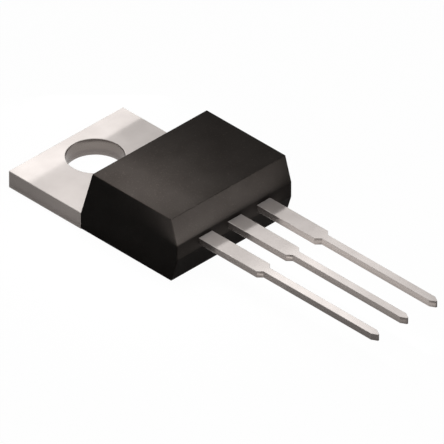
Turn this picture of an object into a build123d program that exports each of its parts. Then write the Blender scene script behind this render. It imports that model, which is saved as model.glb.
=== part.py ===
from build123d import *
import os
from math import hypot, radians, tan

# A three-lead power transistor in a moulded through-hole package with a bolt-down metal tab.
# Millimetres and degrees. The origin is the centre of the mounting hole at the mounting face,
# X runs across the package, the leads point to -Y and +Z goes from the heat sink to the flat top.

# Package outline
package_width = 10.0  # the tab and the moulding share it, so their sides are flush
tab_thickness = 1.25
hole_diameter = 3.8
hole_to_tab_end = 2.62
hole_to_moulding = 3.81
moulding_length = 8.56  # back wall to the band that the leads leave by
moulding_height = 4.69  # mounting face to the flat top
stand_off = 0.04  # the moulding stays this clear of the heat sink
mould_draft = 17.0  # lean of the back wall and of both front slopes
moulding_edge_radius = 0.08
band_above_leads = 0.26
band_below_leads = 0.35

# Leads outside the moulding
lead_pitch = 2.54
lead_thickness = 0.48
lead_floor = 2.18  # mounting face to the underside of the leads
lead_width = 1.17
lead_reach = 15.18  # moulding to the tips
shoulder_reach = 5.09  # moulding to the step that the dam bar leaves
pin_width = 0.55
tip_length = 0.4
tip_width = 0.1

# Copper inside the moulding
side_wall = 0.7  # compound beside the flange and the bond posts
front_wall = 0.77  # compound in front of the bond posts
post_length = 1.5
post_gap = 0.6  # between the drain neck and each bond post
lock_notch_radius = 0.3
drain_neck_width = 1.8
joggle_angle = 57.5
joggle_level_run = 1.04  # level run of the drain lead between its upper bend and the band
joggle_foot_run = 0.35  # level run between the flange and the lower bend
bend_radius = 0.25  # inside radius of both bends of the drain lead
undercut_depth = 0.4  # step under the flange's edges that the compound grips
undercut_height = 0.45
groove_setback = 0.7  # back wall to the middle of the locking groove
groove_width = 0.6
groove_depth = 0.3

# Die, its solder and the bond wires
die_length = 4.4  # across the package
die_width = 3.2
die_thickness = 0.28
die_setback = 0.78  # front edge of the flange to the die
solder_thickness = 0.06
solder_margin = 0.1
gate_wire_diameter = 0.18
source_wire_diameter = 0.38
source_wire_pitch = 1.1
source_bond_offset = 0.5  # middle of the die to the middle of the two source bonds
bond_margin = 0.6  # edge of the die to the middle of a bond
loop_rise = 0.55  # top of the posts to the peak of a loop before it is rounded
loop_bend = 0.8
loop_peak_share = 0.45  # how far along its span a loop peaks

# Shape of a bond in wire diameters, the same for a thin wire and a thick one
bond_length = 1.8
bond_height = 0.25  # wire's centre line above the metal, less than half: the bond is pressed flat
heel_bend = 1.2

# Places worked out from the sizes above
tab_end = hole_to_tab_end
moulding_back = -hole_to_moulding
moulding_front = moulding_back - moulding_length
band_floor = lead_floor - band_below_leads
band_top = lead_floor + lead_thickness + band_above_leads
lead_middle = lead_floor + lead_thickness / 2
shoulder_start = moulding_front - shoulder_reach
shoulder_end = shoulder_start - (lead_width - pin_width) / 2
tip_end = moulding_front - lead_reach
tip_start = tip_end + tip_length

flange_half = package_width / 2 - side_wall
joggle_low = tab_thickness - lead_thickness / 2
joggle_run = (lead_middle - joggle_low) / tan(radians(joggle_angle))
joggle_top = moulding_front + joggle_level_run
joggle_foot = joggle_top + joggle_run
flange_front = joggle_foot + joggle_foot_run
post_front = moulding_front + front_wall
post_back = post_front + post_length
post_top = lead_floor + lead_thickness
post_middle = (post_front + post_back) / 2
post_inner = drain_neck_width / 2 + post_gap
post_centre = (post_inner + flange_half) / 2

die_front = flange_front + die_setback
die_back = die_front + die_width
die_middle = (die_front + die_back) / 2
die_floor = tab_thickness + solder_thickness
die_top = die_floor + die_thickness


def plate(x_low, x_high, y_low, y_high, z_low, z_high):
    """A block between two corners."""
    size = (x_high - x_low, y_high - y_low, z_high - z_low)
    return Pos(x_low, y_low, z_low) * Box(*size, align=(Align.MIN, Align.MIN, Align.MIN))


def side_profile(points):
    """A face in the YZ plane from its (y, z) corners."""
    return make_face(Plane.YZ * Polyline(*points, close=True))


def across(profile, width):
    """A face in the YZ plane made as wide as asked, evenly about X = 0."""
    return extrude(profile, amount=width / 2, both=True)


def upright(outline, z_low, z_high):
    """A plan outline made solid between two heights."""
    return extrude(Pos(0, 0, z_low) * outline, amount=z_high - z_low)


def plan_outline(half_outline):
    """A plan face, symmetric about X = 0, from the (x, y) corners of its +X side."""
    other_half = [(-x, y) for x, y in reversed(half_outline)]
    return make_face(Polyline(*half_outline, *other_half, close=True))


def mould_slope(height):
    """How far a drafted wall leans in over a height."""
    return height * tan(radians(mould_draft))


def mould_form():
    """The moulding's outside: drafted back wall, flat top, and a front with an upright band."""
    points = [
        (moulding_back, stand_off),
        (moulding_back, tab_thickness),
        (moulding_back - mould_slope(moulding_height - tab_thickness), moulding_height),
        (moulding_front + mould_slope(moulding_height - band_top), moulding_height),
        (moulding_front, band_top),
        (moulding_front, band_floor),
        (moulding_front + mould_slope(band_floor - stand_off), stand_off),
    ]
    block = across(side_profile(points), package_width)
    return fillet(block.edges(), radius=moulding_edge_radius)


def tab_and_flange():
    """The thick end of the frame: the drilled tab, and the flange that carries the die."""
    tab_half = package_width / 2
    exposed_half = flange_half - undercut_depth
    exposed_front = flange_front + undercut_depth
    tab = plate(-tab_half, tab_half, moulding_back, tab_end, 0, tab_thickness)
    flange = plate(
        -flange_half, flange_half, flange_front, moulding_back, undercut_height, tab_thickness
    )
    exposed_pad = plate(
        -exposed_half, exposed_half, exposed_front, moulding_back, 0, undercut_height
    )
    groove_middle = moulding_back - groove_setback
    groove = side_profile(
        [
            (groove_middle - groove_width / 2, tab_thickness),
            (groove_middle + groove_width / 2, tab_thickness),
            (groove_middle, tab_thickness - groove_depth),
        ]
    )
    hole = Cylinder(hole_diameter / 2, 3 * tab_thickness)
    return tab + flange + exposed_pad - across(groove, package_width) - hole


def lead_blade(inner_end):
    """Plan outline of a lead: wide out of the moulding, stepped down to the pin, cut to a point."""
    return plan_outline(
        [
            (lead_width / 2, inner_end),
            (lead_width / 2, shoulder_start),
            (pin_width / 2, shoulder_end),
            (pin_width / 2, tip_start),
            (tip_width / 2, tip_end),
        ]
    )


def joggled_strip():
    """Side view of the drain lead: level with the flange's top, up a slope, level at lead height."""
    half = lead_thickness / 2
    corner_shift = half * tan(radians(joggle_angle / 2))
    root = flange_front + undercut_depth
    corners = [
        (root, joggle_low + half),
        (joggle_foot + corner_shift, joggle_low + half),
        (joggle_top + corner_shift, lead_middle + half),
        (tip_end, lead_middle + half),
        (tip_end, lead_middle - half),
        (joggle_top - corner_shift, lead_middle - half),
        (joggle_foot - corner_shift, joggle_low - half),
        (root, joggle_low - half),
    ]
    outer_radius = bend_radius + lead_thickness
    radii = [0, bend_radius, outer_radius, 0, 0, bend_radius, outer_radius, 0]
    return make_face(Plane.YZ * FilletPolyline(*corners, radius=radii, close=True))


def drain_lead():
    """The middle lead, bent up from the flange and blanked to its plan outline."""
    neck = plan_outline(
        [
            (drain_neck_width / 2, flange_front + undercut_depth),
            (drain_neck_width / 2, post_front),
            (lead_width / 2, post_front - (drain_neck_width - lead_width) / 2),
        ]
    )
    blank = upright(neck + lead_blade(post_front), 0, moulding_height)
    return across(joggled_strip(), drain_neck_width) & blank


def drain_frame():
    """Tab, flange and middle lead, stamped from one strip."""
    return tab_and_flange() + drain_lead()


def outer_lead(side):
    """A lead with its bond post inside the moulding: side is -1 for the gate, 1 for the source."""
    post_sides = sorted([side * post_inner, side * flange_half])
    post = plate(*post_sides, post_front, post_back, lead_floor, post_top)
    outline = Pos(side * lead_pitch, 0) * lead_blade(post_middle)
    notch = Cylinder(lock_notch_radius, 3 * lead_thickness)
    notch = Pos(side * flange_half, post_middle, lead_middle) * notch
    return post + upright(outline, lead_floor, post_top) - notch


def die_block(margin, z_low, z_high):
    """The die's footprint, grown by a margin, between two heights."""
    half = die_length / 2 + margin
    return plate(-half, half, die_front - margin, die_back + margin, z_low, z_high)


def upright_plane(start, end):
    """The plane that stands through two (x, y) places: its x runs towards end, its y is up."""
    run = Vector(end[0] - start[0], end[1] - start[1], 0).normalized()
    return Plane(origin=(*start, 0), x_dir=run, z_dir=run.cross(Vector(0, 0, 1)))


def bond_wire(diameter, start, end):
    """A looped wire from a bond on the die to a bond on a post: (x, y) of the bonds' middles."""
    reach = hypot(end[0] - start[0], end[1] - start[1])
    half_bond = bond_length * diameter / 2
    on_die = die_top + bond_height * diameter
    on_post = post_top + bond_height * diameter
    peak = half_bond + loop_peak_share * (reach - 2 * half_bond)
    route = FilletPolyline(
        (-half_bond, on_die),
        (half_bond, on_die),
        (peak, post_top + loop_rise),
        (reach - half_bond, on_post),
        (reach + half_bond, on_post),
        radius=[heel_bend * diameter, loop_bend, heel_bend * diameter],
    )
    path = upright_plane(start, end) * route
    section = Plane(origin=path @ 0, z_dir=path % 0) * Circle(diameter / 2)
    return sweep(section, path=path)


def source_wire(side):
    """One of the two parallel source wires: side is -1 for the inner, 1 for the outer."""
    offset = side * source_wire_pitch / 2
    start = (source_bond_offset + offset, die_middle)
    return bond_wire(source_wire_diameter, start, (post_centre + offset, post_middle))


def gate_wire():
    """The thin wire from the die's front corner to the gate post."""
    start = (bond_margin - die_length / 2, die_front + bond_margin)
    return bond_wire(gate_wire_diameter, start, (-post_centre, post_middle))


def transistor():
    """Every piece by its node name. The compound is cast round all that it encloses."""
    frame = drain_frame()
    gate = outer_lead(-1)
    source = outer_lead(1)
    die = die_block(0, die_floor, die_top)
    metal = {
        "drain_frame": frame,
        "gate_lead": gate,
        "source_lead": source,
        "die_solder": die_block(solder_margin, tab_thickness, die_floor),
        "silicon_die": die,
        "gate_wire": gate_wire() - die - gate,
        "source_wire_inner": source_wire(-1) - die - source,
        "source_wire_outer": source_wire(1) - die - source,
    }
    moulding = mould_form()
    for piece in metal.values():
        moulding -= piece
    return {"moulded_body": moulding, **metal}


os.makedirs("parts", exist_ok=True)
for name, piece in transistor().items():
    export_step(piece, f"parts/{name}.step")
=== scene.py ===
import logging
from collections.abc import Callable
from dataclasses import dataclass
from enum import Enum
from math import atan, cos, pi, radians, sin, tan
from typing import Any

import bmesh
import bpy
from bmesh.types import BMEdge, BMFace, BMVert
from bpy.types import Material, MeshPolygon, Node, NodeSocket, NodeTree, Object
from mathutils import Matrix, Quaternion, Vector


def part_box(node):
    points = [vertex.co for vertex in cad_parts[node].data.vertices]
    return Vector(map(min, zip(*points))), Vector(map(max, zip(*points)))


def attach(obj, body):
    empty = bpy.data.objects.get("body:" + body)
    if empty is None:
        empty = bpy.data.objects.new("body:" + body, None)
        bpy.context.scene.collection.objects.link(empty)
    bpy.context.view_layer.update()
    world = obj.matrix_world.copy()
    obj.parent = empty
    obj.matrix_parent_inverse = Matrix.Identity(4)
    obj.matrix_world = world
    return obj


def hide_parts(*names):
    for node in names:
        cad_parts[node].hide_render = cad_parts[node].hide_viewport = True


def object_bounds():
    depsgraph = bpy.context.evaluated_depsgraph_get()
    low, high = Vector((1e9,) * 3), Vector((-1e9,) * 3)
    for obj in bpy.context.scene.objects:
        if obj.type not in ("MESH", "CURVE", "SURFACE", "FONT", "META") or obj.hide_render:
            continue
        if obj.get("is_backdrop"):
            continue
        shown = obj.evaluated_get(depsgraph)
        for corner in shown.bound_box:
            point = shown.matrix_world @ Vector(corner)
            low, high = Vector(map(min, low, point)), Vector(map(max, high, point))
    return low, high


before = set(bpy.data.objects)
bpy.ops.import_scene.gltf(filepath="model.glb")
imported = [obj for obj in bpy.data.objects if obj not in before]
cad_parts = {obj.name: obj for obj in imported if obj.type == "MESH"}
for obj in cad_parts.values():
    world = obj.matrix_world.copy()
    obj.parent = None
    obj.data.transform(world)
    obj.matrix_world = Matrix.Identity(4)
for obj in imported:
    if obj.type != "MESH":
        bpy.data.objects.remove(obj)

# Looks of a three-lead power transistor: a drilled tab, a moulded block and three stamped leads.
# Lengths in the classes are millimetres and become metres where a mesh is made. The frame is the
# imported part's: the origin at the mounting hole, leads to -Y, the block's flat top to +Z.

LOG = logging.getLogger("transistor")

ElementTest = Callable[[Any], bool]  # takes one vertex, edge or face
NodeInputs = dict[int | str, Any]  # what a node's inputs get, by number or name

MM = 0.001  # in metres, as the next four are
MICRON = 1e-6
SNAP = 2e-6  # two coordinates this close are one
WELD = 1e-6  # corners this close are merged, and the operator takes no smaller value
CUT_SNAP = 1e-8  # a cut this close to a corner passes through it

EDGE_TURN = 20.0  # degrees; faces that meet by less are one rounded or bent side
SHADED_TURN = 50.0  # degrees; the largest that is shaded as one surface
FLAT_TURN = 0.001  # radians; the largest within one flat side
FLAT_AREA = 0.5 * MM * MM  # a face of this area is never part of a round

# Parts of a face's normal along an axis
LEVEL = 0.9999  # the least upright part for a level face
FACING = 0.9  # the least part along the way that a face looks
LEANING = 0.3  # the same for an end that leans
WALL = 0.35  # the largest upright part for a wall


class Element(Enum):
    """Kind of mesh element that an edit-mode selection takes."""

    VERTEX = "VERT"
    EDGE = "EDGE"
    FACE = "FACE"


class FrameAxis(Enum):
    """Axis of the shared frame, as its unit vector."""

    X = (1, 0, 0)
    Y = (0, 1, 0)
    Z = (0, 0, 1)


class Side(Enum):
    """Which of the two outer leads a piece is, as the sign of its X."""

    GATE = -1
    SOURCE = 1


class Slot(Enum):
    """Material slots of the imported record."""

    COMPOUND = "epoxy_compound"
    TIN = "tinned_copper"


# ---------------------------------------------------------------- edit-mode tools


def near(value: float, wanted_mm: float) -> bool:
    """Whether a coordinate in metres is at a place given in millimetres."""
    return abs(value - wanted_mm * MM) < SNAP


def centre_of(element: Any) -> Vector:
    """Middle of a vertex, edge or face.

    Args:
        element: A bmesh vertex, edge or face.

    Returns:
        Its middle, in metres.
    """
    if isinstance(element, BMVert):
        return element.co
    if isinstance(element, BMEdge):
        return (element.verts[0].co + element.verts[1].co) / 2
    return element.calc_center_median()


def is_sharp(edge: BMEdge, degrees: float = EDGE_TURN) -> bool:
    """Whether two faces meet at an edge by more than an angle."""
    return len(edge.link_faces) == 2 and edge.calc_face_angle(0.0) > radians(degrees)


def is_flat(face: BMFace) -> bool:
    """Whether a face belongs to a flat side, and not to a round or a bend.

    Args:
        face: The face.

    Returns:
        True for a level face, a large one, or one in line with a neighbour.
    """
    if abs(face.normal.z) > LEVEL or face.calc_area() > FLAT_AREA:
        return True
    return any(edge.calc_face_angle(1.0) < FLAT_TURN for edge in face.edges)


def is_wall(face: MeshPolygon) -> bool:
    """Whether a face stands upright, or nearly so."""
    return abs(face.normal.z) < WALL


def end_at(y: float) -> ElementTest:
    """Makes the test for a face that looks the way the leads point.

    Args:
        y: Where the face is, in millimetres.

    Returns:
        The test, for pick and divide.
    """
    return lambda face: near(centre_of(face).y, y) and face.normal.y < -FACING


def pick(kind: Element, wanted: ElementTest) -> None:
    """Selects in edit mode the elements that a test accepts, and nothing else.

    Args:
        kind: Vertices, edges or faces.
        wanted: Test on one bmesh element.
    """
    bpy.ops.mesh.select_mode(type=kind.value)
    bpy.ops.mesh.select_all(action="DESELECT")
    mesh = bmesh.from_edit_mesh(bpy.context.edit_object.data)
    mesh.normal_update()
    elements = {Element.VERTEX: mesh.verts, Element.EDGE: mesh.edges, Element.FACE: mesh.faces}
    for element in elements[kind]:
        if wanted(element):
            element.select_set(True)
    mesh.select_flush_mode()
    bmesh.update_edit_mesh(bpy.context.edit_object.data)


def single_out(piece: Object) -> None:
    """Selects one object, and no other, and makes it the active one.

    Args:
        piece: The object.
    """
    bpy.ops.object.select_all(action="DESELECT")
    bpy.context.view_layer.objects.active = piece
    piece.select_set(True)


def begin(piece: Object) -> None:
    """Opens one object, and no other, in edit mode.

    Args:
        piece: The object to shape.
    """
    single_out(piece)
    bpy.ops.object.mode_set(mode="EDIT")
    bpy.ops.mesh.select_all(action="DESELECT")


def settle(name: str) -> Object:
    """Names the newest primitive and puts its place and size into its mesh.

    Args:
        name: Name of the piece.

    Returns:
        The object, which now sits at the origin.
    """
    piece = bpy.context.object
    piece.name = piece.data.name = name
    bpy.ops.object.transform_apply(location=True, rotation=True, scale=True)
    return piece


def block(name: str, low: tuple[float, ...], high: tuple[float, ...]) -> Object:
    """Adds a cube primitive between two corners, as the blank of a piece.

    Args:
        name: Name of the piece.
        low: Lowest corner in millimetres.
        high: Highest corner in millimetres.

    Returns:
        The object, at the origin.
    """
    bpy.ops.object.select_all(action="DESELECT")
    middle = [(a + b) / 2 * MM for a, b in zip(low, high)]
    size = [(b - a) * MM for a, b in zip(low, high)]
    bpy.ops.mesh.primitive_cube_add(size=1, location=middle, scale=size)
    return settle(name)


def trim(point: tuple[float, ...], normal: tuple[float, ...]) -> None:
    """Cuts the edited mesh by a plane, drops what lies beyond it and closes the cut.

    Args:
        point: A point of the plane in millimetres.
        normal: Direction of the side that is dropped.
    """
    place = [value * MM for value in point]
    bpy.ops.mesh.select_all(action="SELECT")
    bpy.ops.mesh.bisect(
        plane_co=place, plane_no=normal, use_fill=True, clear_outer=True, threshold=CUT_SNAP
    )


def divide(wanted: ElementTest, axis: FrameAxis, *places: float) -> None:
    """Draws lines over the faces that a test accepts, and removes nothing.

    Args:
        wanted: Test on one bmesh face.
        axis: The axis that the lines' planes are square to.
        places: Where on that axis the planes are, in millimetres.
    """
    for place in places:
        pick(Element.FACE, wanted)
        point = [part * place * MM for part in axis.value]
        bpy.ops.mesh.bisect(plane_co=point, plane_no=axis.value, threshold=CUT_SNAP)


def pull(y: float = 0.0, z: float = 0.0) -> None:
    """Extrudes the selected faces by a step in millimetres."""
    bpy.ops.mesh.extrude_region_move(TRANSFORM_OT_translate={"value": (0.0, y * MM, z * MM)})


def shift(y: float = 0.0, z: float = 0.0) -> None:
    """Moves the selection by a step in millimetres."""
    bpy.ops.transform.translate(value=(0.0, y * MM, z * MM))


def squeeze(share: float) -> None:
    """Narrows the selection across the package to a share of its width, about its own middle."""
    bpy.ops.transform.resize(value=(share, 1, 1))


def ease(offset: float, steps: int = 2) -> None:
    """Rounds the selected edges.

    Args:
        offset: Distance in millimetres from the old edge to where the round starts.
        steps: Facets across the round.
    """
    bpy.ops.mesh.bevel(
        offset=offset * MM, offset_type="OFFSET", segments=steps, profile=0.5, affect="EDGES"
    )


def weld() -> None:
    """Merges doubles all over the edited mesh."""
    bpy.ops.mesh.select_all(action="SELECT")
    bpy.ops.mesh.remove_doubles(threshold=WELD)


def close_up() -> None:
    """Turns the faces outwards, leaves edit mode and shades the piece."""
    bpy.ops.mesh.select_all(action="SELECT")
    bpy.ops.mesh.normals_make_consistent(inside=False)
    bpy.ops.object.mode_set(mode="OBJECT")
    bpy.ops.object.shade_smooth_by_angle(angle=radians(SHADED_TURN))
    bpy.ops.object.mode_set(mode="EDIT")
    pick(Element.FACE, is_flat)
    bpy.ops.mesh.faces_shade_flat()
    bpy.ops.object.mode_set(mode="OBJECT")
    bpy.ops.object.select_all(action="DESELECT")


def paint(piece: Object, *finishes: Material) -> None:
    """Gives a piece its materials in order, the first one all over.

    Args:
        piece: The piece.
        finishes: Its materials.
    """
    piece.data.materials.clear()
    for finish in finishes:
        piece.data.materials.append(finish)


def paint_where(piece: Object, index: int, wanted: ElementTest) -> None:
    """Gives the faces that a test accepts another of the piece's materials.

    Args:
        piece: The piece.
        index: Place of the material in the piece's slots.
        wanted: Test on one mesh polygon.
    """
    for polygon in piece.data.polygons:
        if wanted(polygon):
            polygon.material_index = index


# ---------------------------------------------------------------- shader tools

BULK = {"From Min": 0.3, "From Max": 0.7}  # nearly all of a noise lies between these
CORE = {"From Min": 0.35, "From Max": 0.65}  # most of it lies between these


def linear(code: str) -> tuple[float, float, float, float]:
    """Turns an sRGB hex colour into the linear one that shaders take.

    Args:
        code: Six hex digits.

    Returns:
        Linear red, green, blue and an alpha of 1.
    """
    parts = [int(code[i : i + 2], 16) / 255 for i in (0, 2, 4)]
    red, green, blue = [
        part / 12.92 if part <= 0.04045 else ((part + 0.055) / 1.055) ** 2.4 for part in parts
    ]
    return (red, green, blue, 1.0)


def add_node(
    tree: NodeTree,
    kind: str,
    inputs: NodeInputs | None = None,
    **settings: Any,
) -> Node:
    """Adds one shader node with its settings, values and links.

    Args:
        tree: The node tree.
        kind: The node's type name, without its "ShaderNode".
        inputs: What each input gets, by its number or name: a value, the hex code of a colour,
            an output, or a node, which stands for its first output that is in use.
        settings: The node's own settings.

    Returns:
        The new node.
    """
    node = tree.nodes.new(f"ShaderNode{kind}")
    for name, value in settings.items():
        setattr(node, name, value)
    named = {socket.name: socket for socket in reversed(node.inputs) if socket.enabled}
    for key, value in (inputs or {}).items():
        socket = node.inputs[key] if isinstance(key, int) else named[key]
        if isinstance(value, Node):
            value = next(output for output in value.outputs if output.enabled)
        if isinstance(value, NodeSocket):
            tree.links.new(value, socket)
        else:
            socket.default_value = linear(value) if isinstance(value, str) else value
    return node


def new_material(name: str) -> tuple[Material, NodeTree]:
    """Starts an empty node material.

    Args:
        name: Name of the finish.

    Returns:
        The material and its node tree.
    """
    material = bpy.data.materials.new(name)
    material.use_nodes = True
    material.node_tree.nodes.clear()
    return material, material.node_tree


@dataclass(frozen=True)
class NoisePattern:
    """A noise of a real size, laid on Object coordinates."""

    size_mm: tuple[float, float, float]  # of one swell of the noise, along X, Y and Z
    layers: float = 2.0  # finer noises added to the first
    strength: float = 0.5  # of each finer noise, as a share of the one before

    def lay(self, tree: NodeTree) -> Node:
        """Adds the pattern to a material.

        Args:
            tree: The node tree.

        Returns:
            The noise, about 0 to 1 with a middle of 0.5.
        """
        place = add_node(tree, "TexCoord").outputs["Object"]
        scale = [1 / (size * MM) for size in self.size_mm]
        placed = add_node(tree, "Mapping", {"Vector": place, "Scale": scale})
        noise = {"Scale": 1.0, "Detail": self.layers, "Roughness": self.strength}
        return add_node(tree, "TexNoise", {"Vector": placed, **noise})


# ---------------------------------------------------------------- finishes


@dataclass(frozen=True)
class SurfaceFinish:
    """A material: each kind lays its own patterns and says what the shader gets."""

    name: str

    def make(self) -> Material:
        """Builds the node material.

        Returns:
            The material.
        """
        material, tree = new_material(self.name)
        shader = add_node(tree, "BsdfPrincipled", self.shade(tree))
        add_node(tree, "OutputMaterial", {"Surface": shader})
        return material

    def shade(self, tree: NodeTree) -> NodeInputs:
        """Lays the patterns of the finish.

        Args:
            tree: The node tree.

        Returns:
            What the shader's inputs get.
        """
        raise NotImplementedError


@dataclass(frozen=True)
class MouldingCompound(SurfaceFinish):
    """Black epoxy moulding compound, cast in a spark-eroded mould.

    Carbon black gives it a warm near-black, the eroded skin makes it matt with a wide weak sheen,
    and the silica filler shows as faint grey flecks.
    """

    name: str = "epoxy_compound_eroded"
    dark: str = "211E1C"
    pale: str = "252220"
    fleck: str = "35312D"
    sheen: tuple[float, ...] = (1.0, 0.88, 0.8, 1.0)
    # The real grain is 0.03 to 0.05 mm, and is drawn coarser so that it shows, as the filler is
    grain: NoisePattern = NoisePattern((0.16,) * 3, 3.0, 0.6)
    grain_depth_um: float = 7.0
    flecks: NoisePattern = NoisePattern((0.16 / 2.2,) * 3, 0.0)
    clouds: NoisePattern = NoisePattern((2.4,) * 3)

    def shade(self, tree: NodeTree) -> NodeInputs:
        """Lays clouds of two tones, flecks and the matt grain.

        Args:
            tree: The node tree.

        Returns:
            What the shader's inputs get.
        """
        grain = self.grain.lay(tree)
        cloudy = add_node(tree, "MapRange", {"Value": self.clouds.lay(tree), **CORE})
        tones = {"Factor": cloudy, "A": self.dark, "B": self.pale}
        base = add_node(tree, "Mix", tones, data_type="RGBA")
        peaks = {"Value": self.flecks.lay(tree), "From Min": 0.7, "From Max": 0.8, "To Max": 0.5}
        spots = {"Factor": add_node(tree, "MapRange", peaks), "A": base, "B": self.fleck}
        matt = {"Value": grain, **BULK, "To Min": 0.36, "To Max": 0.44}
        dents = {"Height": grain, "Distance": self.grain_depth_um * MICRON}
        return {
            "Base Color": add_node(tree, "Mix", spots, data_type="RGBA"),
            "Roughness": add_node(tree, "MapRange", matt),
            "IOR": 1.5,
            "Specular IOR Level": 0.009,
            "Specular Tint": self.sheen,
            "Normal": add_node(tree, "Bump", dents),
        }


@dataclass(frozen=True)
class SatinTin(SurfaceFinish):
    """Satin tin electroplated on rolled copper strip.

    The eye gets a pale, slightly warm white metal, soft reflections, and very faint rolling lines
    that run across the package, along the strip that the parts are stamped from. The plating's
    fine crystals scatter about a third of the light evenly, which the lowered metallic value gives.
    """

    name: str = "satin_tin_rolled"
    pale: str = "BFB8B4"
    deep: str = "B6AFAB"
    # Real rolling lines are 0.01 to 0.03 mm apart and crystals smaller: both are drawn coarser
    lines: NoisePattern = NoisePattern((3.0, 0.07, 0.07))
    line_depth_um: float = 0.1
    crystals: NoisePattern = NoisePattern((1 / 14,) * 3)
    clouds: NoisePattern = NoisePattern((1.8,) * 3)

    def shade(self, tree: NodeTree) -> NodeInputs:
        """Lays clouds of two tones, rolling lines and crystals.

        Args:
            tree: The node tree.

        Returns:
            What the shader's inputs get.
        """
        cloudy = add_node(tree, "MapRange", {"Value": self.clouds.lay(tree), **CORE})
        tones = {"Factor": cloudy, "A": self.pale, "B": self.deep}
        satin = {"Value": self.crystals.lay(tree), **BULK, "To Min": 0.09, "To Max": 0.13}
        dents = {"Height": self.lines.lay(tree), "Distance": self.line_depth_um * MICRON}
        return {
            "Base Color": add_node(tree, "Mix", tones, data_type="RGBA"),
            "Metallic": 0.66,
            "Roughness": add_node(tree, "MapRange", satin),
            "Normal": add_node(tree, "Bump", dents),
        }


@dataclass(frozen=True)
class ShadedShearedEdge(SurfaceFinish):
    """Blanked edge of the strip, plated thinly with tin.

    The punch leaves an upper zone rubbed smooth with upright drag marks, and below it a torn zone,
    duller and darker, where the strip broke. The torn grain scatters a fifth of the light evenly.
    Both tones are painted far darker than the tin, as painted shade on the upright sides.
    """

    floor: float
    thickness: float
    # Both zones' tones are painted far darker than the tin, as painted shade on the upright sides
    smooth: str = "736C68"
    torn: str = "706965"
    # Shares of the thickness
    smooth_share: float = 0.62
    swing_share: float = 0.16  # how far the border between the zones wanders
    blur_share: float = 0.06  # half the height over which one zone becomes the other
    waves: NoisePattern = NoisePattern((0.625, 0.625, 5.0))  # of the border
    # Real drag marks are 0.005 to 0.02 mm apart, and are drawn coarser so that they show
    drags: NoisePattern = NoisePattern((0.06, 0.06, 1.25))
    drag_depth_um: float = 0.8
    tears: NoisePattern = NoisePattern((1 / 9, 1 / 9, 1 / 12), 3.0, 0.6)
    tear_depth_um: float = 1.5

    def shade(self, tree: NodeTree) -> NodeInputs:
        """Lays drag marks, tears and the wavy border between the two zones.

        Args:
            tree: The node tree.

        Returns:
            What the shader's inputs get.
        """
        place = add_node(tree, "TexCoord").outputs["Object"]
        height = add_node(tree, "SeparateXYZ", {"Vector": place}).outputs["Z"]
        swing, blur = (share * self.thickness for share in (self.swing_share, self.blur_share))
        wander = {0: self.waves.lay(tree), 1: swing * MM, 2: height}
        wavy = add_node(tree, "Math", wander, operation="MULTIPLY_ADD")
        border = self.floor + self.thickness * (1 - self.smooth_share) + swing / 2
        below = {"From Min": (border - blur) * MM, "From Max": (border + blur) * MM}
        torn = add_node(tree, "MapRange", {"Value": wavy, **below, "To Min": 1.0, "To Max": 0.0})
        tones = {"Factor": torn, "A": self.smooth, "B": self.torn}
        drags = {"Height": self.drags.lay(tree), "Distance": self.drag_depth_um * MICRON}
        tears = {"Height": self.tears.lay(tree), "Distance": self.tear_depth_um * MICRON}
        rubbed = add_node(tree, "Bump", drags)
        return {
            "Base Color": add_node(tree, "Mix", tones, data_type="RGBA"),
            "Metallic": 0.8,
            "Roughness": add_node(tree, "MapRange", {"Value": torn, "To Min": 0.2, "To Max": 0.26}),
            "Normal": add_node(tree, "Bump", {**tears, "Normal": rubbed}),
        }


@dataclass(frozen=True)
class LappedSilicon(SurfaceFinish):
    """Silicon die with two aluminium bond pads on its top.

    The pads are a bright fine-grained film, split by a dark line that frames the gate pad, and the
    sawn sides are blue-grey and glossy.
    """

    name: str = "silicon_with_aluminium_pads"
    sawn: str = "4B5058"
    film: str = "D8D8DA"
    film_reach: float = 0.004  # how far down the die's sides the film's looks begin
    pad_gap: float = 0.12
    gate_pad: float = 1.1
    # Real grains of the film are 0.001 mm, and are drawn coarser so that they show
    grain: NoisePattern = NoisePattern((1 / 30,) * 3)
    grain_depth_um: float = 0.3

    def shade(self, tree: NodeTree) -> NodeInputs:
        """Lays the film with the dark line between its two pads, and the film's grain.

        Args:
            tree: The node tree.

        Returns:
            What the shader's inputs get.
        """
        low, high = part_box("silicon_die")
        place = add_node(tree, "TexCoord").outputs["Object"]
        along = add_node(tree, "SeparateXYZ", {"Vector": place}).outputs
        past = [
            add_node(
                tree, "Math", {0: along[axis], 1: edge + self.gate_pad * MM}, operation="SUBTRACT"
            )
            for axis, edge in (("X", low.x), ("Y", low.y))
        ]
        corner = add_node(tree, "Math", {0: past[0], 1: past[1]}, operation="MAXIMUM")
        away = add_node(tree, "Math", {0: corner}, operation="ABSOLUTE")
        half = self.pad_gap / 2 * MM
        rim = {"Value": away, "From Min": half, "From Max": 1.2 * half}
        reach = self.film_reach * MM
        skin = {"Value": along["Z"], "From Min": high.z - reach, "From Max": high.z - reach / 2}
        parts = {0: add_node(tree, "MapRange", rim), 1: add_node(tree, "MapRange", skin)}
        film = add_node(tree, "Math", parts, operation="MULTIPLY")
        tones = {"Factor": film, "A": self.sawn, "B": self.film}
        grain = self.grain.lay(tree)
        glossy = {"Value": grain, **BULK, "To Min": 0.16, "To Max": 0.3}
        dents = {"Height": grain, "Distance": self.grain_depth_um * MICRON}
        return {
            "Base Color": add_node(tree, "Mix", tones, data_type="RGBA"),
            "Metallic": add_node(tree, "MapRange", {"Value": film, "To Min": 0.3}),
            "Roughness": add_node(tree, "MapRange", glossy),
            "IOR": 3.9,
            "Normal": add_node(tree, "Bump", dents),
        }


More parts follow.
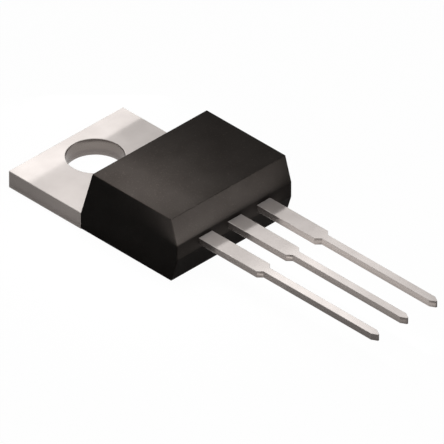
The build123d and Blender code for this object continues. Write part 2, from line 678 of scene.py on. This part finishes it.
@dataclass(frozen=True)
class GrainedMetal(SurfaceFinish):
    """A bare metal whose tone wanders and whose grain makes it partly matt."""

    tone: str
    other_tone: str
    waves: NoisePattern  # of the tone
    grain: NoisePattern
    grain_depth_um: float
    least_rough: float
    most_rough: float

    def shade(self, tree: NodeTree) -> NodeInputs:
        """Lays the waves and the grain.

        Args:
            tree: The node tree.

        Returns:
            What the shader's inputs get.
        """
        tones = {"Factor": self.waves.lay(tree), "A": self.tone, "B": self.other_tone}
        grain = self.grain.lay(tree)
        matt = {"Value": grain, **BULK, "To Min": self.least_rough, "To Max": self.most_rough}
        dents = {"Height": grain, "Distance": self.grain_depth_um * MICRON}
        return {
            "Base Color": add_node(tree, "Mix", tones, data_type="RGBA"),
            "Metallic": 1.0,
            "Roughness": add_node(tree, "MapRange", matt),
            "Normal": add_node(tree, "Bump", dents),
        }


@dataclass(frozen=True)
class SoftSolder(GrainedMetal):
    """Lead-rich soft solder, reflowed under the die: dull grey, frosted and slightly wavy.

    Real frost has a grain of 0.01 mm or less, and is drawn coarser so that it shows.
    """

    name: str = "soft_solder"
    tone: str = "9A9A98"
    other_tone: str = "B2B1AE"
    waves: NoisePattern = NoisePattern((1 / 1.5,) * 3, 1.0)
    grain: NoisePattern = NoisePattern((1 / 22,) * 3, 3.0, 0.6)
    grain_depth_um: float = 1.5
    least_rough: float = 0.3
    most_rough: float = 0.5


@dataclass(frozen=True)
class DrawnAluminium(GrainedMetal):
    """Bonding wire, hard aluminium drawn through a die: bright, with faint lines along the wire.

    Real die lines are 0.002 to 0.005 mm apart, and are drawn coarser so that they show.
    """

    name: str = "drawn_aluminium"
    tone: str = "E0E0E2"
    other_tone: str = "C8C8CC"
    waves: NoisePattern = NoisePattern((1 / 24, 1.0, 1 / 24))
    grain: NoisePattern = waves
    grain_depth_um: float = 0.4
    least_rough: float = 0.18
    most_rough: float = 0.3


# ---------------------------------------------------------------- sub-assemblies


@dataclass
class MouldedBody:
    """The block of moulding compound that encloses the die and holds the leads."""

    tab_thickness: float = 1.25
    draft: float = 17.0  # degrees that the back wall and both front slopes lean
    band_low: float = 1.83  # the front's upright band, which the leads leave by
    band_high: float = 2.92
    edge_radius: float = 0.045
    edge_steps: int = 3
    least_turn: float = 8.0  # degrees; a drafted wall starts with a turn of more
    name: str = "moulding"

    def build(self) -> Object:
        """Cuts the three drafted walls from a block and rounds every edge.

        Returns:
            The moulding.
        """
        low, high = [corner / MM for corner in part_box("moulded_body")]
        piece = block(self.name, low, high)
        lean, rise = cos(radians(self.draft)), sin(radians(self.draft))
        begin(piece)
        trim((0, high.y, self.tab_thickness), (0, lean, rise))
        trim((0, low.y, self.band_high), (0, -lean, rise))
        trim((0, low.y, self.band_low), (0, -lean, -rise))
        pick(Element.EDGE, lambda edge: is_sharp(edge, self.least_turn))
        ease(self.edge_radius, self.edge_steps)
        close_up()
        return piece

    def dress(self, piece: Object) -> None:
        """Gives the moulding its finish.

        Args:
            piece: The moulding.
        """
        paint(piece, MouldingCompound().make())
        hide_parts("moulded_body")
        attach(piece, "root")


@dataclass(frozen=True)
class LeadBlade:
    """Sizes of a lead outside the moulding, the same for all three."""

    width: float = 1.17
    thickness: float = 0.48
    floor: float = 2.18
    moulding_front: float = -12.37
    shoulder_start: float = -17.46
    shoulder_end: float = -17.77
    pin_width: float = 0.55
    tip_start: float = -27.15
    tip_end: float = -27.55
    tip_width: float = 0.1
    edge_round: float = 0.02
    sealed_margin: float = 1.0  # an edge with both ends this near the moulding isn't rounded

    @property
    def top(self) -> float:
        """Height of the lead's upper face."""
        return self.floor + self.thickness

    def draw_out(self, start: float) -> None:
        """Extrudes the selected end face to the shoulder, the pin and the cut point.

        Args:
            start: Y of the end face in millimetres.
        """
        pull(y=self.shoulder_start - start)
        pull(y=self.shoulder_end - self.shoulder_start)
        squeeze(self.pin_width / self.width)
        pull(y=self.tip_start - self.shoulder_end)
        pull(y=self.tip_end - self.tip_start)
        squeeze(self.tip_width / self.pin_width)

    def ease_edges(self) -> None:
        """Rounds the long edges of the lead that lie outside the moulding."""
        border = (self.moulding_front - self.sealed_margin) * MM
        pick(
            Element.EDGE,
            lambda edge: is_sharp(edge) and min(end.co.y for end in edge.verts) < border,
        )
        ease(self.edge_round)


@dataclass
class DrainFrame:
    """Tab, flange and middle lead: one stamping, drilled and joggled up to lead height."""

    hole_radius: float = 1.9
    hole_facets: int = 96
    tab_thickness: float = 1.25
    moulding_back: float = -3.81
    flange_half: float = 4.3
    pad_half: float = 3.9
    flange_front: float = -10.08
    pad_front: float = -9.68
    undercut_height: float = 0.45
    groove_middle: float = -4.51
    groove_half: float = 0.3
    groove_depth: float = 0.3
    neck_half: float = 0.9
    neck_end: float = -11.6
    joggle_angle: float = 57.5
    joggle_foot: float = -10.43
    joggle_top: float = -11.33
    inner_bend: float = 0.25
    bend_facets: int = 5
    bend_reach: float = 0.2  # an edge this near a corner of the joggle is the corner's
    rim_round: float = 0.035
    rim_turn: float = 40.0  # degrees; the tab's outline and the hole's rims turn by more
    rim_margin: float = 0.01  # an edge this near the moulding isn't rounded
    blade: LeadBlade = LeadBlade()
    name: str = "tab_and_drain_lead"

    def build(self) -> Object:
        """Makes the drilled tab, then draws the flange and the lead out of it.

        Returns:
            The frame.
        """
        piece = self.drilled_tab()
        self.draw_flange()
        self.press_groove()
        self.draw_lead()
        self.bend_lead()
        self.ease_tab()
        self.blade.ease_edges()
        close_up()
        return piece

    def drilled_tab(self) -> Object:
        """Bridges the hole's circle to the tab's outline and gives the ring its thickness.

        Returns:
            The tab, left in edit mode.
        """
        low, high = [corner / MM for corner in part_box("drain_frame")]
        bpy.ops.object.select_all(action="DESELECT")
        bpy.ops.mesh.primitive_circle_add(
            vertices=self.hole_facets, radius=self.hole_radius * MM, fill_type="NOTHING"
        )
        piece = settle(self.name)
        begin(piece)
        middle = (0, (self.moulding_back + high.y) / 2 * MM, 0)
        size = ((high.x - low.x) * MM, (high.y - self.moulding_back) * MM, 1)
        bpy.ops.mesh.primitive_plane_add(size=1, location=middle)
        bpy.ops.transform.resize(value=size)
        bpy.ops.mesh.delete(type="ONLY_FACE")
        bpy.ops.mesh.select_all(action="SELECT")
        bpy.ops.mesh.bridge_edge_loops()
        bpy.ops.mesh.select_all(action="SELECT")
        pull(z=self.tab_thickness)
        bpy.ops.mesh.select_all(action="SELECT")
        bpy.ops.mesh.normals_make_consistent(inside=False)
        return piece

    def draw_flange(self) -> None:
        """Extrudes the flange from the tab, wider on top so that the compound grips it."""
        inner_side, pad_end = end_at(self.moulding_back), end_at(self.pad_front)
        step = self.undercut_height * MM
        halves = (-self.flange_half, -self.pad_half, self.pad_half, self.flange_half)
        divide(inner_side, FrameAxis.X, *halves)
        divide(inner_side, FrameAxis.Z, self.undercut_height)

        def section(face: BMFace) -> bool:
            """Whether a face of the inner side lies within the flange's section."""
            half = self.flange_half if centre_of(face).z > step else self.pad_half
            return inner_side(face) and abs(centre_of(face).x) < half * MM

        pick(Element.FACE, section)
        pull(y=self.pad_front - self.moulding_back)
        pick(Element.FACE, lambda face: pad_end(face) and centre_of(face).z > step)
        pull(y=self.flange_front - self.pad_front)

    def press_groove(self) -> None:
        """Presses the locking groove across the flange, which the compound fills."""
        middle, half = self.groove_middle, self.groove_half

        def flange_top(face: BMFace) -> bool:
            """Whether a face is on the flange's top."""
            level = near(centre_of(face).z, self.tab_thickness) and face.normal.z > FACING
            return level and centre_of(face).y < self.moulding_back * MM

        divide(flange_top, FrameAxis.Y, middle - half, middle, middle + half)
        pick(
            Element.VERTEX,
            lambda end: near(end.co.y, middle) and near(end.co.z, self.tab_thickness),
        )
        shift(z=-self.groove_depth)

    def draw_lead(self) -> None:
        """Extrudes the lead from the flange's front, up the joggle and out to its point."""
        blade = self.blade
        root = self.tab_thickness - blade.thickness
        mitre = blade.thickness / 2 * tan(radians(self.joggle_angle / 2))
        front = end_at(self.flange_front)

        def root_face(face: BMFace) -> bool:
            """Whether a face of the flange's front is the one that the lead leaves by."""
            middle = centre_of(face)
            return front(face) and abs(middle.x) < self.neck_half * MM and middle.z > root * MM

        divide(front, FrameAxis.X, -self.neck_half, self.neck_half)
        divide(front, FrameAxis.Z, root)
        pick(Element.FACE, root_face)
        pull(y=self.joggle_foot - self.flange_front)
        self.tilt_end(self.joggle_foot, root, mitre)
        self.pick_end()
        pull(y=self.joggle_top - self.joggle_foot, z=blade.floor - root)
        pull(y=self.neck_end - self.joggle_top)
        self.tilt_end(self.neck_end, blade.floor, -mitre)
        self.pick_end()
        taper = self.neck_half - blade.width / 2
        pull(y=-taper)
        squeeze(blade.width / 2 / self.neck_half)
        blade.draw_out(self.neck_end - taper)

    def tilt_end(self, y: float, floor: float, mitre: float) -> None:
        """Leans the end of the lead by moving its upper edge one way and its lower edge the other.

        Args:
            y: Place of the end's middle in millimetres.
            floor: Height of its lower edge.
            mitre: How far the upper edge moves towards the tab.
        """
        reach = 2 * abs(mitre) * MM
        for height, step in ((floor + self.blade.thickness, mitre), (floor, -mitre)):
            pick(
                Element.VERTEX,
                lambda end: near(end.co.z, height) and abs(end.co.y - y * MM) < reach,
            )
            shift(y=step)

    def pick_end(self) -> None:
        """Selects the free end face of the lead."""
        mesh = bmesh.from_edit_mesh(bpy.context.edit_object.data)
        farthest = min(centre_of(face).y for face in mesh.faces)
        pick(
            Element.FACE,
            lambda face: abs(centre_of(face).y - farthest) < SNAP and face.normal.y < -LEANING,
        )

    def bend_lead(self) -> None:
        """Rounds both bends of the joggle: small on the inside and a thickness larger outside."""
        spread = tan(radians(self.joggle_angle / 2))
        thick = self.blade.thickness
        foot, top = self.tab_thickness, self.blade.top
        inner = ((self.joggle_foot, foot), (self.joggle_top, top - thick))
        outer = ((self.joggle_foot, foot - thick), (self.joggle_top, top))
        for corners, radius in ((inner, self.inner_bend), (outer, self.inner_bend + thick)):
            pick(Element.EDGE, lambda edge: self.is_bend(edge, corners))
            ease(radius * spread, self.bend_facets)
        # Two corners meet where the upper bend ends. They are merged here, because the rounds that
        # follow put corners so close together that which of them merge would change at each run.
        weld()

    def is_bend(self, edge: BMEdge, corners: tuple[tuple[float, float], ...]) -> bool:
        """Whether an edge lies across the lead at one of some corners of its side view.

        Args:
            edge: The edge.
            corners: Y and Z of each corner in millimetres.

        Returns:
            True for such an edge.
        """
        middle = centre_of(edge)
        level = abs(edge.verts[0].co.z - edge.verts[1].co.z) < SNAP
        reach = self.bend_reach * MM
        placed = any(near(middle.z, z) and abs(middle.y - y * MM) < reach for y, z in corners)
        return level and placed and is_sharp(edge)

    def ease_tab(self) -> None:
        """Rounds the tab's outline and both rims of the hole."""
        border = (self.moulding_back + self.rim_margin) * MM
        pick(
            Element.EDGE,
            lambda edge: is_sharp(edge, self.rim_turn) and centre_of(edge).y > border,
        )
        ease(self.rim_round)

    def dress(self, piece: Object) -> None:
        """Gives the frame satin tin, sheared edges in painted shade, and a hole wall in a lighter
        copy of them, as painted light.

        Args:
            piece: The frame.
        """
        blade, thickness = self.blade, self.tab_thickness
        paint(
            piece,
            SatinTin().make(),
            # Sheared sides in tones of painted shade
            ShadedShearedEdge("sheared_tab_edge", 0.0, thickness).make(),
            ShadedShearedEdge("sheared_drain_edge", blade.floor, blade.thickness).make(),
            # The hole wall in a lighter copy of the sheared tones, as painted light
            ShadedShearedEdge("hole_wall_painted_light", 0.0, thickness, "847C77", "7E7672").make(),
        )
        border = blade.moulding_front * MM
        reach = (self.hole_radius + self.rim_round) * MM
        paint_where(piece, 1, lambda face: is_wall(face) and face.center.y > border)
        paint_where(piece, 2, lambda face: is_wall(face) and face.center.y < border)
        paint_where(piece, 3, lambda face: is_wall(face) and face.center.xy.length < reach)
        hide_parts("drain_frame")
        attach(piece, "root")


@dataclass
class OuterLead:
    """A gate or source lead with its bond post inside the moulding."""

    pitch: float = 2.54
    post_inner: float = 1.5
    post_outer: float = 4.3
    post_back: float = -10.1
    post_front: float = -11.6
    notch_radius: float = 0.3
    notch_facets: int = 32
    blade: LeadBlade = LeadBlade()
    name: str = "outer_lead"

    def build(self) -> Object:
        """Models the source lead: a post with a locking notch, and the blade drawn out of it.

        Returns:
            The lead on the source side.
        """
        blade, half = self.blade, self.blade.width / 2
        low = (self.post_inner, self.post_front, blade.floor)
        high = (self.post_outer, self.post_back, blade.top)
        piece = block(self.name, low, high)
        self.cut_notch(piece)
        begin(piece)
        front = end_at(self.post_front)
        divide(front, FrameAxis.X, self.pitch - half, self.pitch + half)
        pick(
            Element.FACE,
            lambda face: front(face) and abs(centre_of(face).x - self.pitch * MM) < half * MM,
        )
        blade.draw_out(self.post_front)
        blade.ease_edges()
        close_up()
        return piece

    def cut_notch(self, piece: Object) -> None:
        """Cuts the half-round notch in the post's outer edge, which locks it in the compound.

        Args:
            piece: The post's blank.
        """
        blade = self.blade
        place = (self.post_outer, (self.post_back + self.post_front) / 2, blade.floor)
        bpy.ops.object.select_all(action="DESELECT")
        bpy.ops.mesh.primitive_cylinder_add(
            vertices=self.notch_facets,
            radius=self.notch_radius * MM,
            depth=4 * blade.thickness * MM,
            location=[value * MM for value in place],
        )
        punch = settle("notch_punch")
        single_out(piece)
        cut = piece.modifiers.new("notch", "BOOLEAN")
        cut.operation = "DIFFERENCE"
        cut.solver = "EXACT"
        cut.object = punch
        bpy.ops.object.modifier_apply(modifier=cut.name)
        bpy.data.objects.remove(punch)

    def copy_to(self, piece: Object, side: Side) -> Object:
        """Copies the modelled lead to a side, with a mesh of its own.

        Args:
            piece: The lead on the source side.
            side: Which lead the copy is.

        Returns:
            The copy.
        """
        single_out(piece)
        bpy.ops.object.duplicate(linked=False)
        twin = bpy.context.object
        twin.name = twin.data.name = f"{self.name}_{side.name.lower()}"
        if side is Side.GATE:
            begin(twin)
            weld()
            bpy.ops.transform.resize(value=(side.value, 1, 1), center_override=(0, 0, 0))
            close_up()
        return twin

    def dress(self, piece: Object, side: Side) -> None:
        """Gives a lead satin tin and sheared edges in painted shade.

        Args:
            piece: The lead.
            side: Which lead it is.
        """
        which, blade = side.name.lower(), self.blade
        tin = SatinTin(f"satin_tin_{which}")
        # Sheared sides in tones painted dark, as painted shade
        edge = ShadedShearedEdge(f"sheared_{which}_edge", blade.floor, blade.thickness)
        paint(piece, tin.make(), edge.make())
        paint_where(piece, 1, is_wall)
        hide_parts(f"{which}_lead")
        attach(piece, "root")


@dataclass(frozen=True)
class SealedParts:
    """Die, solder and bond wires, which keep their own solids inside the moulding."""

    wires: tuple[str, ...] = ("gate_wire", "source_wire_inner", "source_wire_outer")

    def dress(self) -> None:
        """Gives each sealed node its finish."""
        wire = DrawnAluminium().make()
        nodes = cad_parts
        paint(nodes["silicon_die"], LappedSilicon().make())
        paint(nodes["die_solder"], SoftSolder().make())
        for name in self.wires:
            paint(nodes[name], wire)


# ---------------------------------------------------------------- studio


@dataclass(frozen=True)
class Lamp:
    """A soft lamp: an oblong panel that faces a point. No camera ray sees it.

    One that isn't mirrored lights matt surfaces alone, so that metal shows no hot patch.
    """

    name: str
    place: tuple[float, float, float]
    aim: tuple[float, float, float]
    width: float
    height: float
    radiance: float
    roll: float = 0.0
    mirrored: bool = True

    def light(self) -> None:
        """Hangs the panel. Its power follows from its size and radiance."""
        panel = bpy.data.lights.new(self.name, "AREA")
        panel.shape = "RECTANGLE"
        panel.size, panel.size_y = self.width * MM, self.height * MM
        panel.energy = self.radiance * pi * self.width * self.height * MM * MM
        holder = bpy.data.objects.new(self.name, panel)
        bpy.context.scene.collection.objects.link(holder)
        holder.location = Vector(self.place) * MM
        towards = Vector(self.aim) - Vector(self.place)
        turned = towards.to_track_quat("-Z", "Y") @ Quaternion((0, 0, 1), radians(self.roll))
        holder.rotation_euler = turned.to_euler()
        holder.visible_camera = False
        holder.visible_glossy = self.mirrored


@dataclass(frozen=True)
class Card:
    """A glowing card that the level faces mirror towards the camera.

    Its place is told from the line along which the mounting hole's centre mirrors the camera.
    """

    name: str
    distance: float
    across: float
    down: float
    width: float
    height: float
    radiance: float
    roll: float

    def as_lamp(self, back: Vector) -> Lamp:
        """Works out the lamp that the card is.

        Args:
            back: Direction from the object to the camera.

        Returns:
            The lamp.
        """
        mirrored = Vector((-back.x, -back.y, back.z))
        right = mirrored.cross(Vector((0, 0, 1))).normalized()
        foot = right * self.across + mirrored.cross(right) * self.down
        place = foot + mirrored * self.distance
        size = (self.width, self.height, self.radiance, self.roll)
        return Lamp(self.name, tuple(place), tuple(foot), *size)


# The first two light the matt surfaces from above. The slope and band cards lie before the block's
# front, and the gap and shoulder cards stand beside the leads, for the faces that look at them.
LAMPS = (
    Lamp("overhead", (0, -34, 88), (0, -10, 0), 90, 90, 2.35, mirrored=False),
    Lamp("strip", (-4.1, -7.7, 9.1), (-4.1, -7.8, 0), 1.8, 9.0, 27, mirrored=False),
    Lamp("slope_card", (-2.8, -16.15, 2.95), (-2.8, -16.05, 9), 14, 7, 11.5, 4),
    Lamp("band_card", (-0.6, -16, 1.85), (-0.6, -15.9, 9), 9.2, 7, 2.15, mirrored=False),
    Lamp("drain_gap_card", (-1.85, -20.8, 0.9), (5, -20.8, 0.9), 15.4, 1.4, 0.7),
    Lamp("source_gap_card", (0.7, -20.8, 0.9), (5, -20.8, 0.9), 15.4, 1.4, 1.65),
    Lamp("shoulder_card", (-3.05, -18.6, 1.35), (-3.05, -17.6, 2.35), 4.2, 0.45, 2.2),
)
CARDS = (
    Card("tab_end_card", 7, -2.19, 1.93, 14, 6, 0.87, 30),
    Card("tab_side_card", 120, -27.8, -8.2, 60, 40, 0.44, -30),
    Card("gate_lead_card", 46, 11.1, -15.75, 11.5, 9.6, 0.77, 30),
    Card("all_leads_card", 45, 13.1, -14.6, 16, 9.6, 0.62, 30),
)


@dataclass(frozen=True)
class Studio:
    """White floor, plain surroundings, soft lamps and the camera."""

    floor_side: float = 900.0
    floor_drop: float = 0.01
    floor_seen: str = "F8F8F8"
    floor_lighting: str = "6A6A6A"  # its tone for the light that it sends back to the object
    floor_glow: float = 0.975  # share of the floor's white that no shadow reaches, to the camera
    mirrored_glow: float = 0.3  # the same share in reflections
    touching: float = 0.3  # a reflection from nearer than this passes through the floor
    fill: float = 0.04  # strength of the surroundings as a light
    azimuth: float = -44.69
    elevation: float = 34.86
    lens: float = 1650.0
    sensor: float = 36.0
    view_width: float = 27.575
    aim_right: float = -0.847  # from the middle of the part's box to where the camera aims
    aim_up: float = 0.028

    def lay_floor(self) -> None:
        """Lays a white floor that keeps a faint shadow and lets a view from below through."""
        bpy.ops.object.select_all(action="DESELECT")
        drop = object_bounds()[0].z - self.floor_drop * MM
        bpy.ops.mesh.primitive_grid_add(
            x_subdivisions=4, y_subdivisions=4, size=self.floor_side * MM, location=(0, 0, drop)
        )
        floor = settle("floor")
        paint(floor, self.white_card())
        floor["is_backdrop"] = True

    def white_card(self) -> Material:
        """Builds the floor's material: white to the eye and in reflections, and grey as a light.

        Returns:
            The material.
        """
        material, tree = new_material("white_card")
        seen = self.seen_ray(tree)
        direct = add_node(tree, "LightPath").outputs["Is Camera Ray"]
        shares = {"Value": direct, "To Min": self.mirrored_glow, "To Max": self.floor_glow}
        glow = {0: seen, 1: add_node(tree, "MapRange", shares)}
        tones = {"Factor": seen, "A": self.floor_lighting, "B": self.floor_seen}
        tone = add_node(tree, "Mix", tones, data_type="RGBA")
        top = {
            0: add_node(tree, "Math", glow, operation="MULTIPLY"),
            1: add_node(tree, "BsdfDiffuse", {"Color": tone}),
            2: add_node(tree, "Emission", {"Color": "FFFFFF", "Strength": 1.0}),
        }
        sides = {
            0: self.open_ray(tree),
            1: add_node(tree, "MixShader", top),
            2: add_node(tree, "BsdfTransparent"),
        }
        add_node(tree, "OutputMaterial", {"Surface": add_node(tree, "MixShader", sides)})
        return material

    def seen_ray(self, tree: NodeTree) -> Node:
        """Whether a ray comes from the camera, from a reflection or through glass.

        Args:
            tree: The node tree.

        Returns:
            1 for such a ray, and 0 for one that only carries light.
        """
        path = add_node(tree, "LightPath").outputs
        rays = {0: path["Is Camera Ray"], 1: path["Is Glossy Ray"]}
        either = add_node(tree, "Math", rays, operation="MAXIMUM")
        rays = {0: either, 1: path["Is Transmission Ray"]}
        return add_node(tree, "Math", rays, operation="MAXIMUM")

    def open_ray(self, tree: NodeTree) -> Node:
        """Whether the floor lets a ray through.

        Args:
            tree: The node tree.

        Returns:
            1 for a ray from below and for a reflection in a face that lies on the floor.
        """
        path = add_node(tree, "LightPath").outputs
        turned = add_node(tree, "NewGeometry").outputs["Backfacing"]
        length = {0: path["Ray Length"], 1: self.touching * MM}
        short = add_node(tree, "Math", length, operation="LESS_THAN")
        resting = {0: short, 1: path["Is Glossy Ray"]}
        either = {0: add_node(tree, "Math", resting, operation="MULTIPLY"), 1: turned}
        return add_node(tree, "Math", either, operation="MAXIMUM")

    def surround(self) -> None:
        """Makes the surroundings white to the eye and in reflections, and dim as a light."""
        world = bpy.data.worlds.new("plain_studio")
        world.use_nodes = True
        tree = world.node_tree
        tree.nodes.clear()
        dim, white = [
            add_node(tree, "Background", {"Color": "FFFFFF", "Strength": strength})
            for strength in (self.fill, 1.0)
        ]
        mixed = add_node(tree, "MixShader", {0: self.seen_ray(tree), 1: dim, 2: white})
        add_node(tree, "OutputWorld", {"Surface": mixed})
        bpy.context.scene.world = world

    def camera_side(self) -> Vector:
        """Direction from the object to the camera."""
        turn, rise = radians(self.azimuth), radians(self.elevation)
        return Vector((sin(turn) * cos(rise), -cos(turn) * cos(rise), sin(rise)))

    def hang_lamps(self) -> None:
        """Hangs the lamps, and the cards at their places for this camera."""
        for lamp in (*LAMPS, *(card.as_lamp(self.camera_side()) for card in CARDS)):
            lamp.light()

    def set_camera(self) -> None:
        """Sets a far camera with a long lens, so that parallel edges stay parallel."""
        low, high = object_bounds()
        back = self.camera_side()
        right = Vector((0, 0, 1)).cross(back).normalized()
        up = back.cross(right)
        aim = (low + high) / 2 + right * self.aim_right * MM + up * self.aim_up * MM
        half = atan(self.sensor / 2 / self.lens)
        distance = self.view_width / 2 * MM / tan(half)
        data = bpy.data.cameras.new("camera")
        data.sensor_width, data.lens = self.sensor, self.lens
        data.clip_start, data.clip_end = distance / 10, distance * 3
        camera = bpy.data.objects.new("camera", data)
        bpy.context.scene.collection.objects.link(camera)
        camera.location = aim + back * distance
        camera.rotation_euler = (-back).to_track_quat("-Z", "Y").to_euler()
        bpy.context.scene.camera = camera

    def build(self) -> None:
        """Sets up the whole studio and the plain view transform."""
        self.lay_floor()
        self.surround()
        self.hang_lamps()
        self.set_camera()
        bpy.context.scene.view_settings.view_transform = "Standard"


def report(piece: Object) -> None:
    """Logs a finished piece with its size."""
    size = [round(value / MM, 3) for value in piece.dimensions]
    LOG.info("%s: %d faces, %s mm", piece.name, len(piece.data.polygons), size)


def main() -> None:
    """Builds and dresses every sub-assembly in order, then the studio."""
    logging.basicConfig(level=logging.INFO, format="%(name)s: %(message)s")
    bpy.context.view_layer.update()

    body = MouldedBody()
    moulding = body.build()
    body.dress(moulding)
    report(moulding)

    stamping = DrainFrame()
    drain = stamping.build()
    stamping.dress(drain)
    report(drain)

    lead = OuterLead()
    model = lead.build()
    for side in Side:
        twin = lead.copy_to(model, side)
        lead.dress(twin, side)
        report(twin)
    bpy.data.objects.remove(model)

    SealedParts().dress()
    Studio().build()


if __name__ == "__main__":
    main()
